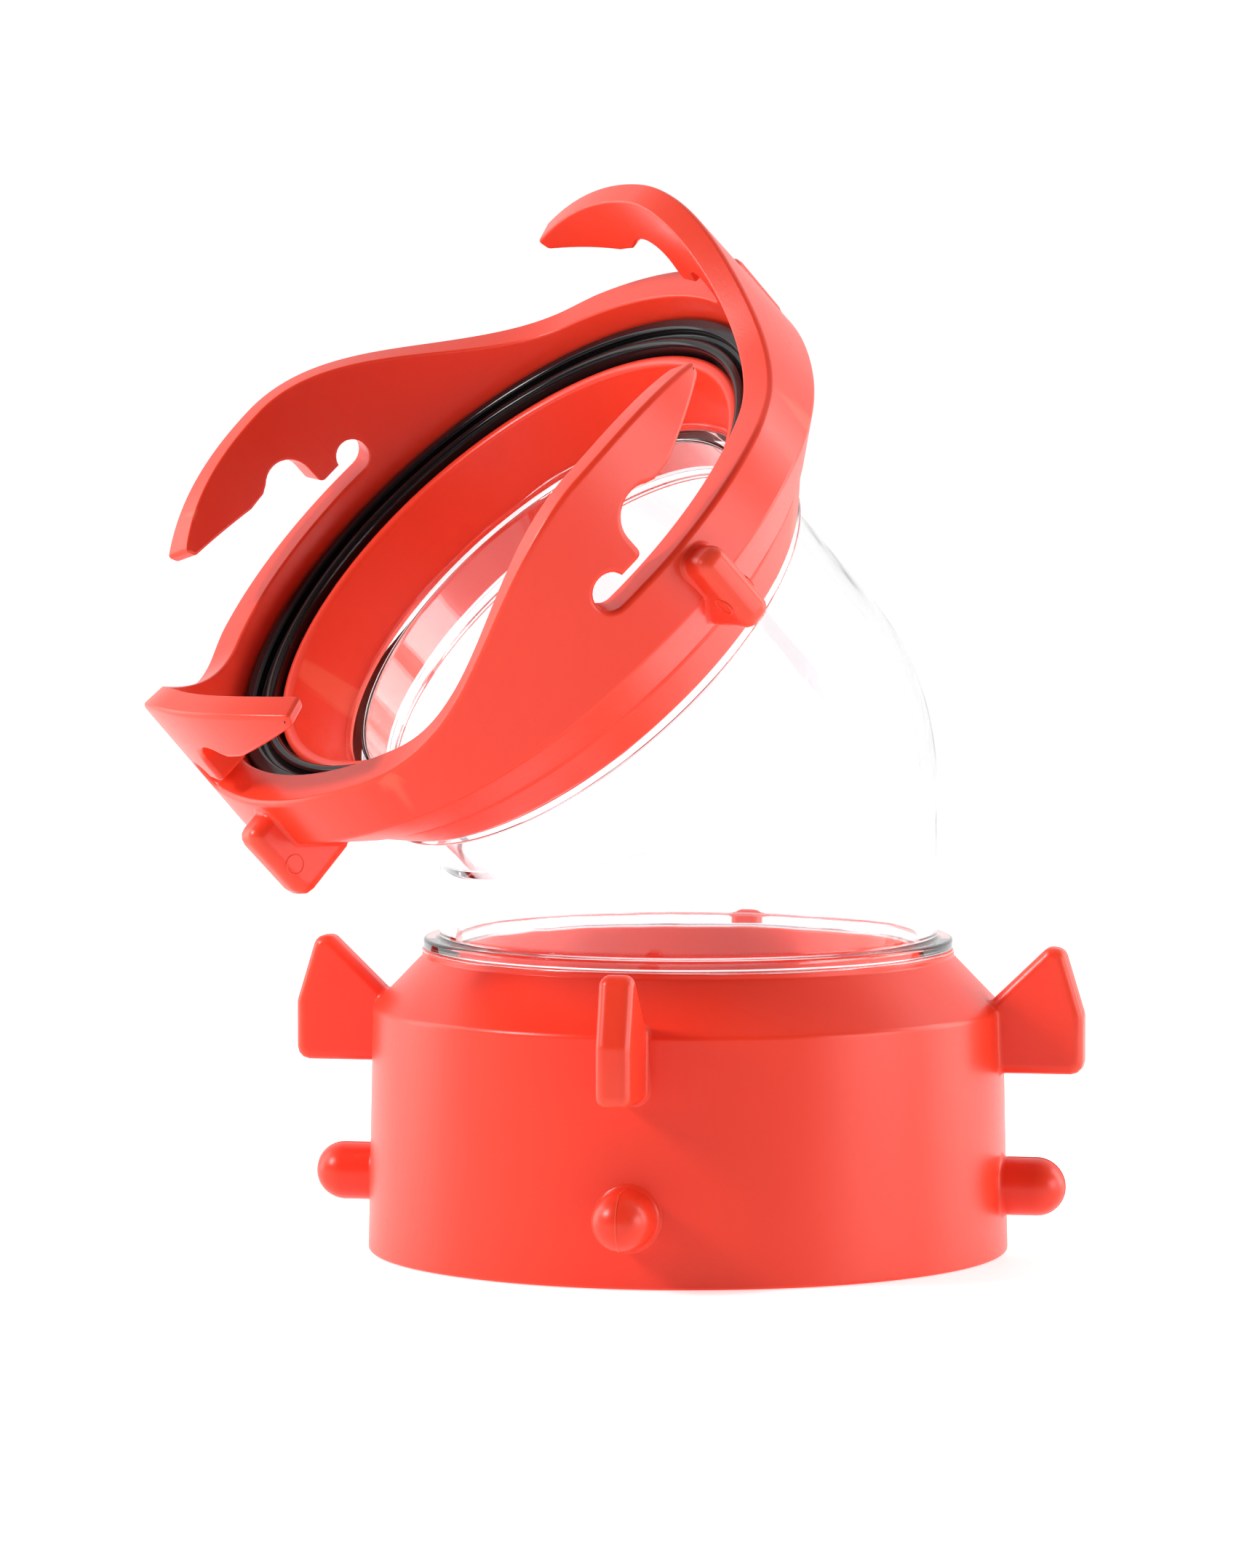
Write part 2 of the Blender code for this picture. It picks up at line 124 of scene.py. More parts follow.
def swivel_axis() -> Axis:
    """The hook ring's axis, from the point where it meets the collar's axis."""
    joint = frame["joints"][0]
    direction = Vector(joint["axis"]).normalized()
    place = Vector(joint["pos_m"])
    back = (place.x - collar_axis().origin.x) / direction.x
    return Axis(place - direction * back, direction)


# ---------------------------------------------------------------- outlines


@dataclass(frozen=True)
class Corner:
    """A corner of an outline in millimetres, and the radius that rounds it."""

    x: float
    y: float
    radius: float = 0.0


def arc(centre: Point, radius: float, start: float, end: float, steps: int) -> list[Corner]:
    """Points along an arc.

    Args:
        centre: The arc's centre.
        radius: Its radius in millimetres.
        start: The first angle in degrees.
        end: The last angle in degrees.
        steps: How many straight steps stand for the arc.

    Returns:
        The arc's points, both ends included, as unrounded corners.
    """
    angles = [math.radians(start + (end - start) * i / steps) for i in range(steps + 1)]
    return [Corner(centre[0] + radius * math.cos(a), centre[1] + radius * math.sin(a)) for a in angles]


def rounded(corners: Sequence[Corner], steps: int = 4, closed: bool = True) -> list[Point]:
    """Rounds the corners of an outline.

    Args:
        corners: The outline's corners in order.
        steps: Straight steps in each rounding.
        closed: Whether the last corner joins the first.

    Returns:
        The rounded outline's points.
    """
    points: list[Point] = []
    for index, corner in enumerate(corners):
        at_end = not closed and index in (0, len(corners) - 1)
        if corner.radius <= 0.0 or at_end:
            points.append((corner.x, corner.y))
            continue
        here = Vector((corner.x, corner.y))
        before, after = corners[index - 1], corners[(index + 1) % len(corners)]
        back = Vector((before.x, before.y)) - here
        ahead = Vector((after.x, after.y)) - here
        half = back.angle(ahead) / 2
        run = min(corner.radius / math.tan(half), 0.48 * back.length, 0.48 * ahead.length)
        radius = run * math.tan(half)
        middle = (back.normalized() + ahead.normalized()).normalized()
        centre = here + middle * (radius / math.sin(half))
        first = here + back.normalized() * run - centre
        sweep = first.angle_signed(here + ahead.normalized() * run - centre)
        for step in range(steps + 1):
            turned = first.copy()
            turned.rotate(Matrix.Rotation(-sweep * step / steps, 2))
            points.append((centre.x + turned.x, centre.y + turned.y))
    return points


# ---------------------------------------------------------------- mesh work


def spin(points: Sequence[Point], steps: int, closed: bool = True) -> bmesh.types.BMesh:
    """Turns an outline of (radius, height) points about Z.

    Args:
        points: The outline.
        steps: Columns round the axis.
        closed: Whether the outline closes on itself.

    Returns:
        The turned surface.
    """
    bm = bmesh.new()
    verts = [bm.verts.new((radius, 0.0, height)) for radius, height in points]
    pairs = list(zip(verts, verts[1:])) + ([(verts[-1], verts[0])] if closed else [])
    edges = [bm.edges.new(pair) for pair in pairs]
    bmesh.ops.spin(bm, geom=verts + edges, cent=(0, 0, 0), axis=(0, 0, 1), angle=math.tau, steps=steps,
                   use_merge=True)
    bmesh.ops.remove_doubles(bm, verts=bm.verts, dist=MERGE)
    return bm


def tidy(bm: bmesh.types.BMesh) -> bmesh.types.BMesh:
    """Merges doubles and turns every face outwards."""
    bmesh.ops.remove_doubles(bm, verts=bm.verts, dist=MERGE)
    bmesh.ops.dissolve_degenerate(bm, edges=bm.edges, dist=MERGE / 4)
    bmesh.ops.recalc_face_normals(bm, faces=bm.faces)
    return bm


def new_verts(grown: dict[str, Any]) -> list[bmesh.types.BMVert]:
    """The vertices in an operator's result."""
    return [item for item in grown["geom"] if isinstance(item, bmesh.types.BMVert)]


def add_copy(target: bmesh.types.BMesh, source: bmesh.types.BMesh, place: Matrix) -> None:
    """Adds a transformed copy of one mesh to another."""
    mesh = bpy.data.meshes.new("copy")
    source.to_mesh(mesh)
    mesh.transform(place)
    target.from_mesh(mesh)
    bpy.data.meshes.remove(mesh)


def plate(outline: Sequence[Corner], thickness: float, edge: float, root: Callable[[Vector], bool]
          ) -> bmesh.types.BMesh:
    """An upright plate in the XZ plane with rounded edges, open at its root.

    Args:
        outline: The plate's corners as (radius, height).
        thickness: Its thickness along Y.
        edge: The radius of its rounded edges.
        root: Says of a side face's middle whether it belongs to the open root.

    Returns:
        The plate's mesh.
    """
    bm = bmesh.new()
    bm.faces.new([bm.verts.new((x, -thickness / 2, z)) for x, z in rounded(outline, steps=3)])
    grown = bmesh.ops.extrude_face_region(bm, geom=list(bm.faces))
    bmesh.ops.translate(bm, verts=new_verts(grown), vec=(0.0, thickness, 0.0))
    side = [face for face in bm.faces if abs(face.calc_center_median().y) < thickness / 4]
    bmesh.ops.delete(bm, geom=[face for face in side if root(face.calc_center_median())], context="FACES")
    bmesh.ops.recalc_face_normals(bm, faces=bm.faces)
    rims = [item for item in bm.edges
            if not item.is_boundary and abs(item.verts[0].co.y - item.verts[1].co.y) < thickness / 2]
    bmesh.ops.bevel(bm, geom=rims, offset=edge, offset_type="OFFSET", segments=EDGE_SEGMENTS, profile=0.5,
                    affect="EDGES", clamp_overlap=True, material=-1)
    return bm


def open_loop(bm: bmesh.types.BMesh) -> list[bmesh.types.BMVert]:
    """The vertices round the mesh's one open edge, in order."""
    start = next(item for item in bm.edges if item.is_boundary)
    loop = [start.verts[0], start.verts[1]]
    while True:
        ahead = [item.other_vert(loop[-1]) for item in loop[-1].link_edges
                 if item.is_boundary and item.other_vert(loop[-1]) is not loop[-2]]
        if ahead[0] is loop[0]:
            return loop
        loop.append(ahead[0])


def blend_foot(bm: bmesh.types.BMesh, ground: BVHTree, radius: float, steps: int = 5) -> None:
    """Grows a moulded fillet from an open foot down to the surface that it stands on.

    Args:
        bm: The boss or fin, whose one open edge is about a radius above the surface.
        ground: The surface.
        radius: The fillet's radius.
        steps: Rows in the fillet.
    """
    loop = open_loop(bm)
    centre = sum((vert.co for vert in loop), Vector()) / len(loop)
    bases: list[tuple[Vector, Vector, Vector]] = []
    for index, vert in enumerate(loop):
        base, normal, _, _ = ground.find_nearest(vert.co)
        along = loop[(index + 1) % len(loop)].co - loop[index - 1].co
        out = along.cross(normal).normalized()
        if out.dot(vert.co - centre) < 0:
            out.negate()
        bases.append((base, normal, out))
    ring = loop
    sink = 0.5  # how far the last row goes under the surface
    for step in range(steps + 2):
        angle = math.radians(90) * min(step, steps) / steps
        if step:
            kept = set(ring)
            grown = bmesh.ops.extrude_edge_only(bm, edges=[e for e in bm.edges if e.is_boundary])
            parents = {e.other_vert(vert): vert for vert in new_verts(grown) for e in vert.link_edges
                       if e.other_vert(vert) in kept}
            ring = [parents[vert] for vert in ring]
        for vert, (base, normal, out) in zip(ring, bases):
            lift = radius * (1 - math.sin(angle)) - (sink if step > steps else 0.0)
            vert.co = base + normal * lift + out * (radius * (1 - math.cos(angle)))
    bmesh.ops.holes_fill(bm, edges=[e for e in bm.edges if e.is_boundary])


def quarter_turns(first: float) -> list[Matrix]:
    """Four turns about Z, the first by this many degrees."""
    return [Matrix.Rotation(math.radians(first + 90.0 * index), 4, "Z") for index in range(4)]


def settle(name: str, bm: bmesh.types.BMesh, axis: Axis, material: bpy.types.Material, body: Body, slot: Slot,
           *nodes: str) -> bpy.types.Object:
    """Makes a finished piece of a mesh in local millimetres.

    Args:
        name: The piece's name.
        bm: Its mesh, which is freed.
        axis: The axis that the mesh was made about.
        material: Its finish.
        body: The body that it rides on.
        slot: The record's slot for the piece; not used.
        nodes: The frame's nodes that it stands for.

    Returns:
        The piece's object, at the origin, with its place in its mesh.
    """
    tidy(bm)
    bmesh.ops.transform(bm, matrix=axis.matrix(), verts=bm.verts)
    mesh = bpy.data.meshes.new(name)
    bm.to_mesh(mesh)
    bm.free()
    mesh.materials.append(material)
    mesh.shade_smooth()
    mesh.set_sharp_from_angle(angle=SHARP_ANGLE)
    piece = bpy.data.objects.new(name, mesh)
    bpy.context.scene.collection.objects.link(piece)
    weights = piece.modifiers.new("Even shading", "WEIGHTED_NORMAL")
    weights.keep_sharp = True
    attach(piece, body.value)
    if nodes:
        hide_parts(*nodes)
    LOG.info("%s: %d faces", name, len(mesh.polygons))
    return piece


# ---------------------------------------------------------------- shader work


class Term:
    """A shader value that adds Math nodes when it is used in an expression."""

    def __init__(self, graph: Graph, socket: bpy.types.NodeSocket) -> None:
        """Wraps an output socket."""
        self.graph = graph
        self.socket = socket

    def _math(self, operation: str, first: Any, second: Any) -> Term:
        """One Math node."""
        return self.graph.node("ShaderNodeMath", {"operation": operation}, {0: first, 1: second})

    def __add__(self, other: Any) -> Term:
        """The sum."""
        return self._math("ADD", self, other)

    __radd__ = __add__

    def __sub__(self, other: Any) -> Term:
        """The difference."""
        return self._math("SUBTRACT", self, other)

    def __rsub__(self, other: Any) -> Term:
        """The difference, the other way round."""
        return self._math("SUBTRACT", other, self)

    def __mul__(self, other: Any) -> Term:
        """The product."""
        return self._math("MULTIPLY", self, other)

    __rmul__ = __mul__


class Graph:
    """The node tree of a material or of the world, built by calls."""

    def __init__(self, owner: bpy.types.Material | bpy.types.World) -> None:
        """Empties the owner's node tree."""
        self.owner = owner
        owner.use_nodes = True
        self.tree = owner.node_tree
        self.tree.nodes.clear()

    def node(self, kind: str, settings: dict[str, Any] | None = None, sockets: dict[Any, Any] | None = None,
             output: int | str | None = 0) -> Term | None:
        """Adds a node.

        Args:
            kind: The node's type.
            settings: Its settings, set first; "stops" holds a ramp's (place, grey) pairs.
            sockets: Values or terms for its inputs, by name or place.
            output: Which output to return, or None for a node that has none.

        Returns:
            The chosen output as a term.
        """
        made = self.tree.nodes.new(kind)
        for name, value in (settings or {}).items():
            if name == "stops":
                ramp = made.color_ramp
                for index, (place, grey) in enumerate(value):
                    stop = ramp.elements[index] if index < 2 else ramp.elements.new(place)
                    stop.position = place
                    stop.color = (grey, grey, grey, 1.0)
            else:
                setattr(made, name, value)
        for name, value in (sockets or {}).items():
            if isinstance(value, Term):
                self.tree.links.new(value.socket, made.inputs[name])
            else:
                made.inputs[name].default_value = value
        return None if output is None else Term(self, made.outputs[output])

    def place(self) -> Term:
        """The point's place on the resting object."""
        return self.node("ShaderNodeTexCoord", output="Object")

    def noise(self, scale: float, detail: float = 2.0, stretch: Sequence[float] = (1, 1, 1)) -> Term:
        """Cloudy noise with about this many blobs in a metre."""
        at = self.node("ShaderNodeMapping", {}, {"Vector": self.place(), "Scale": tuple(stretch)})
        return self.node("ShaderNodeTexNoise", {}, {"Vector": at, "Scale": scale, "Detail": detail,
                                                    "Roughness": 0.55})

    def ramp(self, value: Term, stops: Sequence[Point]) -> Term:
        """A value remapped through (place, grey) stops."""
        return self.node("ShaderNodeValToRGB", {"stops": stops}, {"Fac": value})

    def colours(self, share: Any, first: Any, second: Any) -> Term:
        """A mix of two colours."""
        return self.node("ShaderNodeMix", {"data_type": "RGBA"}, {0: share, 6: first, 7: second}, output=2)

    def bump(self, height: Term, depth: float, strength: float) -> Term:
        """A normal from a height, with its full depth in metres."""
        return self.node("ShaderNodeBump", {}, {"Height": height, "Distance": depth, "Strength": strength})

    def finish(self, shader: Term, kind: str = "ShaderNodeOutputMaterial") -> bpy.types.ID:
        """Connects the last shader to an output of this kind and returns the material or world."""
        self.node(kind, {}, {"Surface": shader}, output=None)
        return self.owner


@dataclass(frozen=True)
class RedPlastic:
    """Semi-gloss moulded plastic with faint flow clouds, a fine mould grain and a painted highlight that
    lightens its edges.
    """

    deep: Colour = (0.79, 0.036, 0.014, 1.0)
    light: Colour = (0.86, 0.047, 0.018, 1.0)
    # the light colour of the painted highlight on convex edges
    edge_highlight: Colour = (0.95, 0.17, 0.085, 1.0)
    roughness: float = 0.32
    shine: float = 0.36
    cloud_scale: float = 55.0
    grain_scale: float = 2300.0
    streak_scale: float = 420.0
    scuff_scale: float = 900.0
    # how far convex edges are lightened by the painted highlight
    edge_highlight_share: float = 0.35
    relief: float = 0.00006

    def material(self) -> bpy.types.Material:
        """Builds the material."""
        graph = Graph(bpy.data.materials.new("red_moulding"))
        clouds = graph.noise(self.cloud_scale, 3.0)
        grain = graph.noise(self.grain_scale)
        streaks = graph.noise(self.streak_scale, stretch=(1.0, 1.0, 0.12))
        long_specks = graph.noise(self.scuff_scale, 4.0, (0.25, 1.0, 1.0))
        scuffs = graph.ramp(long_specks, [(0.60, 0.0), (0.74, 1.0)])
        # painted highlight: convex edges, found by pointiness, are mixed towards a light colour
        pointed = graph.node("ShaderNodeNewGeometry", output="Pointiness")
        edges = graph.ramp(pointed, [(0.515, 0.0), (0.60, 1.0)])
        body = graph.colours(clouds * 0.7 + streaks * 0.3, self.deep, self.light)
        colour = graph.colours(edges * self.edge_highlight_share, body, self.edge_highlight)
        roughness = (grain - 0.5) * 0.10 + (clouds - 0.5) * 0.08 + scuffs * 0.05 + self.roughness
        height = grain * 0.35 + streaks * 0.4 + clouds
        return graph.finish(graph.node("ShaderNodeBsdfPrincipled", {}, {
            "Base Color": colour, "Roughness": roughness, "IOR": 1.5, "Specular IOR Level": self.shine,
            "Normal": graph.bump(height, self.relief, 0.5)}))


@dataclass(frozen=True)
class ClearPlastic:
    """Water-clear plastic, faintly wavy and faintly lavender; lamps shine through it."""

    name: str = "clear_moulding"
    tint: Colour = (0.985, 0.98, 0.995, 1.0)
    roughness: float = 0.015
    haze: float = 0.05
    wave: float = 0.0002
    wave_scale: float = 60.0
    speck_scale: float = 1500.0

    def material(self) -> bpy.types.Material:
        """Builds the material."""
        graph = Graph(bpy.data.materials.new(self.name))
        waves = graph.noise(self.wave_scale)
        specks = graph.ramp(graph.noise(self.speck_scale, 3.0), [(0.66, 0.0), (0.76, 1.0)])
        roughness = waves * self.haze * 0.5 + specks * self.haze + self.roughness
        glass = graph.node("ShaderNodeBsdfPrincipled", {}, {
            "Base Color": self.tint, "Roughness": roughness, "IOR": 1.46, "Transmission Weight": 1.0,
            "Normal": graph.bump(waves, self.wave, 0.35)})
        light = graph.node("ShaderNodeLightPath", output="Is Shadow Ray")
        open_way = graph.node("ShaderNodeBsdfTransparent", {}, {"Color": self.tint})
        return graph.finish(graph.node("ShaderNodeMixShader", {}, {0: light, 1: glass, 2: open_way}))


@dataclass(frozen=True)
class BlackRubber:
    """Glossy black rubber with a fine skin and a little dust."""

    black: Colour = (0.006, 0.005, 0.006, 1.0)
    dust: Colour = (0.03, 0.025, 0.025, 1.0)
    roughness: float = 0.14
    shine: float = 0.15
    skin_scale: float = 1400.0
    dust_scale: float = 2600.0
    cloud_scale: float = 120.0

    def material(self) -> bpy.types.Material:
        """Builds the material."""
        graph = Graph(bpy.data.materials.new("black_rubber"))
        skin = graph.noise(self.skin_scale, 3.0)
        specks = graph.ramp(graph.noise(self.dust_scale), [(0.66, 0.0), (0.72, 1.0)])
        clouds = graph.noise(self.cloud_scale)
        return graph.finish(graph.node("ShaderNodeBsdfPrincipled", {}, {
            "Base Color": graph.colours(specks * 0.4 + clouds * 0.06, self.black, self.dust),
            "Roughness": (clouds - 0.5) * 0.08 + specks * 0.15 + self.roughness, "IOR": 1.5,
            "Specular IOR Level": self.shine, "Normal": graph.bump(skin, 0.00003, 0.3)}))


# ---------------------------------------------------------------- the pieces


@dataclass
class Collar:
    """The red pegged collar: skirt, cone and neck, with four pegs and four thumb fins."""

    axis: Axis
    radius: float = 50.0
    wall: float = 4.0
    shoulder: float = 38.0
    shoulder_radius: float = 49.2
    top: float = 46.9
    neck: float = 41.5
    socket: float = 39.1
    sleeve_end: float = 39.5
    turn: float = 46.8
    peg_radius: float = 4.5
    peg_height: float = 10.85
    peg_reach: float = 59.5
    ridge_proud: float = 0.07
    ridge_half: float = 0.11
    fin_thickness: float = 5.3
    fin_edge: float = 2.35
    fin_foot: float = 28.5
    fin_reach: float = 62.4
    fin_brow: float = 37.8
    fin_top: float = 48.3
    fin_root: Point = (48.5, 40.3)
    fillet: float = 0.9

    def profile(self) -> list[Point]:
        """The body's closed outline, as (radius, height)."""
        inner = self.radius - self.wall
        return rounded([
            Corner(self.neck, self.top, 0.3), Corner(self.neck, self.top - 0.9, 0.4),
            Corner(self.shoulder_radius, self.shoulder, 1.3), Corner(self.radius, 0.0, 0.5),
            Corner(inner, 0.0, 0.4), Corner(inner - 0.4, self.shoulder - 1.5, 1.5),
            Corner(42.6, self.sleeve_end, 0.4), Corner(self.socket, self.sleeve_end, 0.3),
            Corner(self.socket, self.top, 0.3)])

    def peg(self, ground: BVHTree) -> bmesh.types.BMesh:
        """One peg along +X, with its moulded foot and the thin ridge of its parting line."""
        dome = arc((self.peg_reach - self.peg_radius, 0.0), self.peg_radius, 0.0, 90.0, 10)
        outline = [(corner.y, corner.x) for corner in dome] + [(self.peg_radius, self.radius + self.fillet)]
        bm = spin(outline, 40, closed=False)
        lie = Matrix.Translation((0.0, 0.0, self.peg_height)) @ Matrix.Rotation(math.pi / 2, 4, "Y")
        bmesh.ops.transform(bm, matrix=lie, verts=bm.verts)
        bmesh.ops.recalc_face_normals(bm, faces=bm.faces)
        blend_foot(bm, ground, self.fillet)
        ridge = self.parting_ridge()
        add_copy(bm, ridge, Matrix.Identity(4))
        ridge.free()
        return bm

    def parting_ridge(self) -> bmesh.types.BMesh:
        """The upright ridge that the two halves of the mould leave round a peg."""
        reach = self.peg_reach + self.ridge_proud
        radius = self.peg_radius + self.ridge_proud
        outline = arc((reach - radius, self.peg_height), radius, 90.0, -90.0, 24)
        bm = bmesh.new()
        foot = self.radius + 0.4
        corners = [Corner(foot, self.peg_height + radius), *outline, Corner(foot, self.peg_height - radius)]
        bm.faces.new([bm.verts.new((corner.x, -self.ridge_half, corner.y)) for corner in corners])
        grown = bmesh.ops.extrude_face_region(bm, geom=list(bm.faces))
        bmesh.ops.translate(bm, verts=new_verts(grown), vec=(0.0, 2 * self.ridge_half, 0.0))
        bmesh.ops.recalc_face_normals(bm, faces=bm.faces)
        return bm

    def fin(self, ground: BVHTree) -> bmesh.types.BMesh:
        """One thumb fin along +X, on the skirt and the cone."""
        lift = self.fillet
        root_x, root_z = self.fin_root
        outline = [Corner(self.radius - 0.6 + lift, self.fin_foot),
                   Corner(self.fin_reach, self.fin_foot, 2.0), Corner(self.fin_reach, self.fin_brow, 3.0),
                   Corner(self.fin_reach - 3.1, self.fin_top - 0.3, 1.8),
                   Corner(self.fin_reach - 5.6, self.fin_top, 1.6), Corner(root_x, root_z),
                   Corner(self.shoulder_radius + lift, self.shoulder + 0.4)]

        def stands_on_body(middle: Vector) -> bool:
            """Whether a side face's middle lies along the skirt or the cone."""
            between = self.fin_foot + 0.1 < middle.z < root_z - 0.05
            return between and middle.x < self.radius + lift or middle.x < root_x + 0.4

        bm = plate(outline, self.fin_thickness, self.fin_edge, stands_on_body)
        bmesh.ops.recalc_face_normals(bm, faces=bm.faces)
        blend_foot(bm, ground, lift)
        return bm

    def build(self, material: bpy.types.Material) -> bpy.types.Object:
        """Makes the whole moulding."""
        bm = tidy(spin(self.profile(), FINE_STEPS))
        ground = BVHTree.FromBMesh(bm)
        for boss in (self.peg(ground), self.fin(ground)):
            for turn in quarter_turns(self.turn):
                add_copy(bm, boss, turn)
            boss.free()
        return settle("collar_moulding", bm, self.axis, material, Body.FITTING, Slot.RED, "lug_collar")


@dataclass
class Elbow:
    """The clear bend: a mitre whose heel is rounded, with a flange and a spigot at each end."""

    axis: Axis
    bend_height: float
    bend: float = math.radians(45)
    radius: float = 38.8
    wall: float = 2.6
    bend_radius: float = 5.0
    throat: float = 1.2
    flange: float = 41.35
    flange_thickness: float = 1.7
    lower_seat: float = 47.2
    upper_seat: float = 28.3
    spigot: float = 7.4
    foot: float = 56.0
    head: float = 18.0
    span: float = 10.0
    rows: int = 20

    def profile(self) -> list[Point]:
        """The straightened wall's closed outline: the bend takes up the span above zero."""
        bore = self.radius - self.wall
        low = self.lower_seat - self.foot
        high = self.span + self.upper_seat - self.head
        thick = self.flange_thickness
        bends = [Corner(self.radius, self.span * i / self.rows) for i in range(self.rows + 1)]
        inside = [Corner(bore, self.span * i / self.rows) for i in range(self.rows, -1, -1)]
        return rounded([
            Corner(self.radius, low - self.spigot, 0.4), Corner(self.radius, low, 0.2),
            Corner(self.flange, low, 0.35), Corner(self.flange, low + thick, 0.5),
            Corner(self.radius, low + thick, 0.6), *bends, Corner(self.radius, high - thick, 0.6),
            Corner(self.flange, high - thick, 0.5), Corner(self.flange, high, 0.35),
            Corner(self.radius, high, 0.2), Corner(self.radius, high + self.spigot, 0.5),
            Corner(bore, high + self.spigot, 0.7), *inside, Corner(bore, low - self.spigot, 0.7)])

    def bent(self, radius: float, turn: float, level: float) -> Vector:
        """Where a point of the straightened wall goes.

        Args:
            radius: Its distance from the tube's axis.
            turn: Its angle round the axis, zero on the inside of the bend.
            level: Its height on the straightened tube.

        Returns:
            Its place from the collar's axis and end face.
        """
        offset, side = radius * math.cos(turn), radius * math.sin(turn)
        if level < 0.0:
            return Vector((-offset, side, level + self.foot))
        if level > self.span:
            reach = level - self.span + self.head
            inside = Vector((-math.cos(self.bend), 0.0, -math.sin(self.bend)))
            along = Vector((-math.sin(self.bend), 0.0, math.cos(self.bend)))
            return inside * offset + along * reach + Vector((0.0, side, self.bend_height))
        free = self.bend_radius - offset - self.throat
        fillet = self.throat + (free + math.sqrt(free * free + self.throat**2)) / 2
        start = -(offset + fillet) * math.tan(self.bend / 2)
        angle = self.bend * level / self.span
        return Vector((-offset - fillet + fillet * math.cos(angle), side,
                       self.bend_height + start + fillet * math.sin(angle)))

    def build(self, material: bpy.types.Material) -> bpy.types.Object:
        """Makes the whole moulding."""
        bm = spin(self.profile(), 144)
        for vert in bm.verts:
            turn = math.atan2(vert.co.y, vert.co.x)
            vert.co = self.bent(vert.co.xy.length, turn, vert.co.z)
        return settle("elbow_moulding", bm, self.axis, material, Body.FITTING, Slot.CLEAR, "clear_elbow")


@dataclass
class Hub:
    """The red sleeve on the elbow's upper end: rear cone, snap shoulder, groove, flange and lip."""

    axis: Axis
    rear: float = 28.6
    rear_radius: float = 42.4
    socket: float = 39.1
    snap: float = 47.5
    groove: float = 45.7
    ring_rear: float = 36.5
    web_front: float = 41.5
    flange: float = 50.0
    flange_front: float = 44.7
    front: float = 47.0
    lip_outside: float = 44.1
    lip_inside: float = 42.0
    spigot_end: float = 36.0

    def profile(self) -> list[Point]:
        """The closed outline, as (radius, distance along the axis)."""
        lip = (self.lip_outside - self.lip_inside) / 2
        return rounded([
            Corner(self.lip_inside, self.front, lip), Corner(self.lip_outside, self.front, lip),
            Corner(self.lip_outside, self.flange_front), Corner(self.flange, self.flange_front, 0.3),
            Corner(self.flange, self.web_front, 0.3), Corner(self.groove, self.web_front),
            Corner(self.groove, self.ring_rear), Corner(self.snap, self.ring_rear, 0.3),
            Corner(self.snap, self.ring_rear - 1.2, 0.6), Corner(self.rear_radius, self.rear + 0.4, 0.4),
            Corner(self.rear_radius - 0.4, self.rear, 0.3), Corner(self.socket + 0.3, self.rear, 0.2),
            Corner(self.socket, self.rear + 0.3, 0.2), Corner(self.socket, self.spigot_end, 0.3)], steps=5)

    def build(self, material: bpy.types.Material) -> bpy.types.Object:
        """Makes the whole moulding."""
        bm = spin(self.profile(), FINE_STEPS)
        return settle("hub_moulding", bm, self.axis, material, Body.FITTING, Slot.RED, "seal_hub")


@dataclass
class Gasket:
    """The black lip washer: a tall outer lip, a valley and a lower inner lip."""

    axis: Axis
    inner: float = 44.4
    outer: float = 50.0
    back: float = 45.0
    front: float = 49.2

    def profile(self) -> list[Point]:
        """The closed outline, as (radius, distance along the axis)."""
        middle = (self.inner + self.outer) / 2
        return rounded([
            Corner(self.inner, self.back), Corner(self.inner, self.front - 0.5, 0.8),
            Corner(self.inner + 1.7, self.front - 0.5, 0.8), Corner(middle - 0.7, self.front - 1.8, 0.5),
            Corner(middle + 0.3, self.front - 1.5, 0.3), Corner(self.outer - 2.6, self.front - 0.3, 0.4),
            Corner(self.outer - 2.2, self.front, 0.4), Corner(self.outer - 0.5, self.front, 0.6),
            Corner(self.outer, self.front - 0.7, 0.4), Corner(self.outer, self.back)])

    def build(self, material: bpy.types.Material) -> bpy.types.Object:
        """Makes the whole washer."""
        bm = spin(self.profile(), FINE_STEPS)
        return settle("face_gasket", bm, self.axis, material, Body.FITTING, Slot.RUBBER, "gasket")


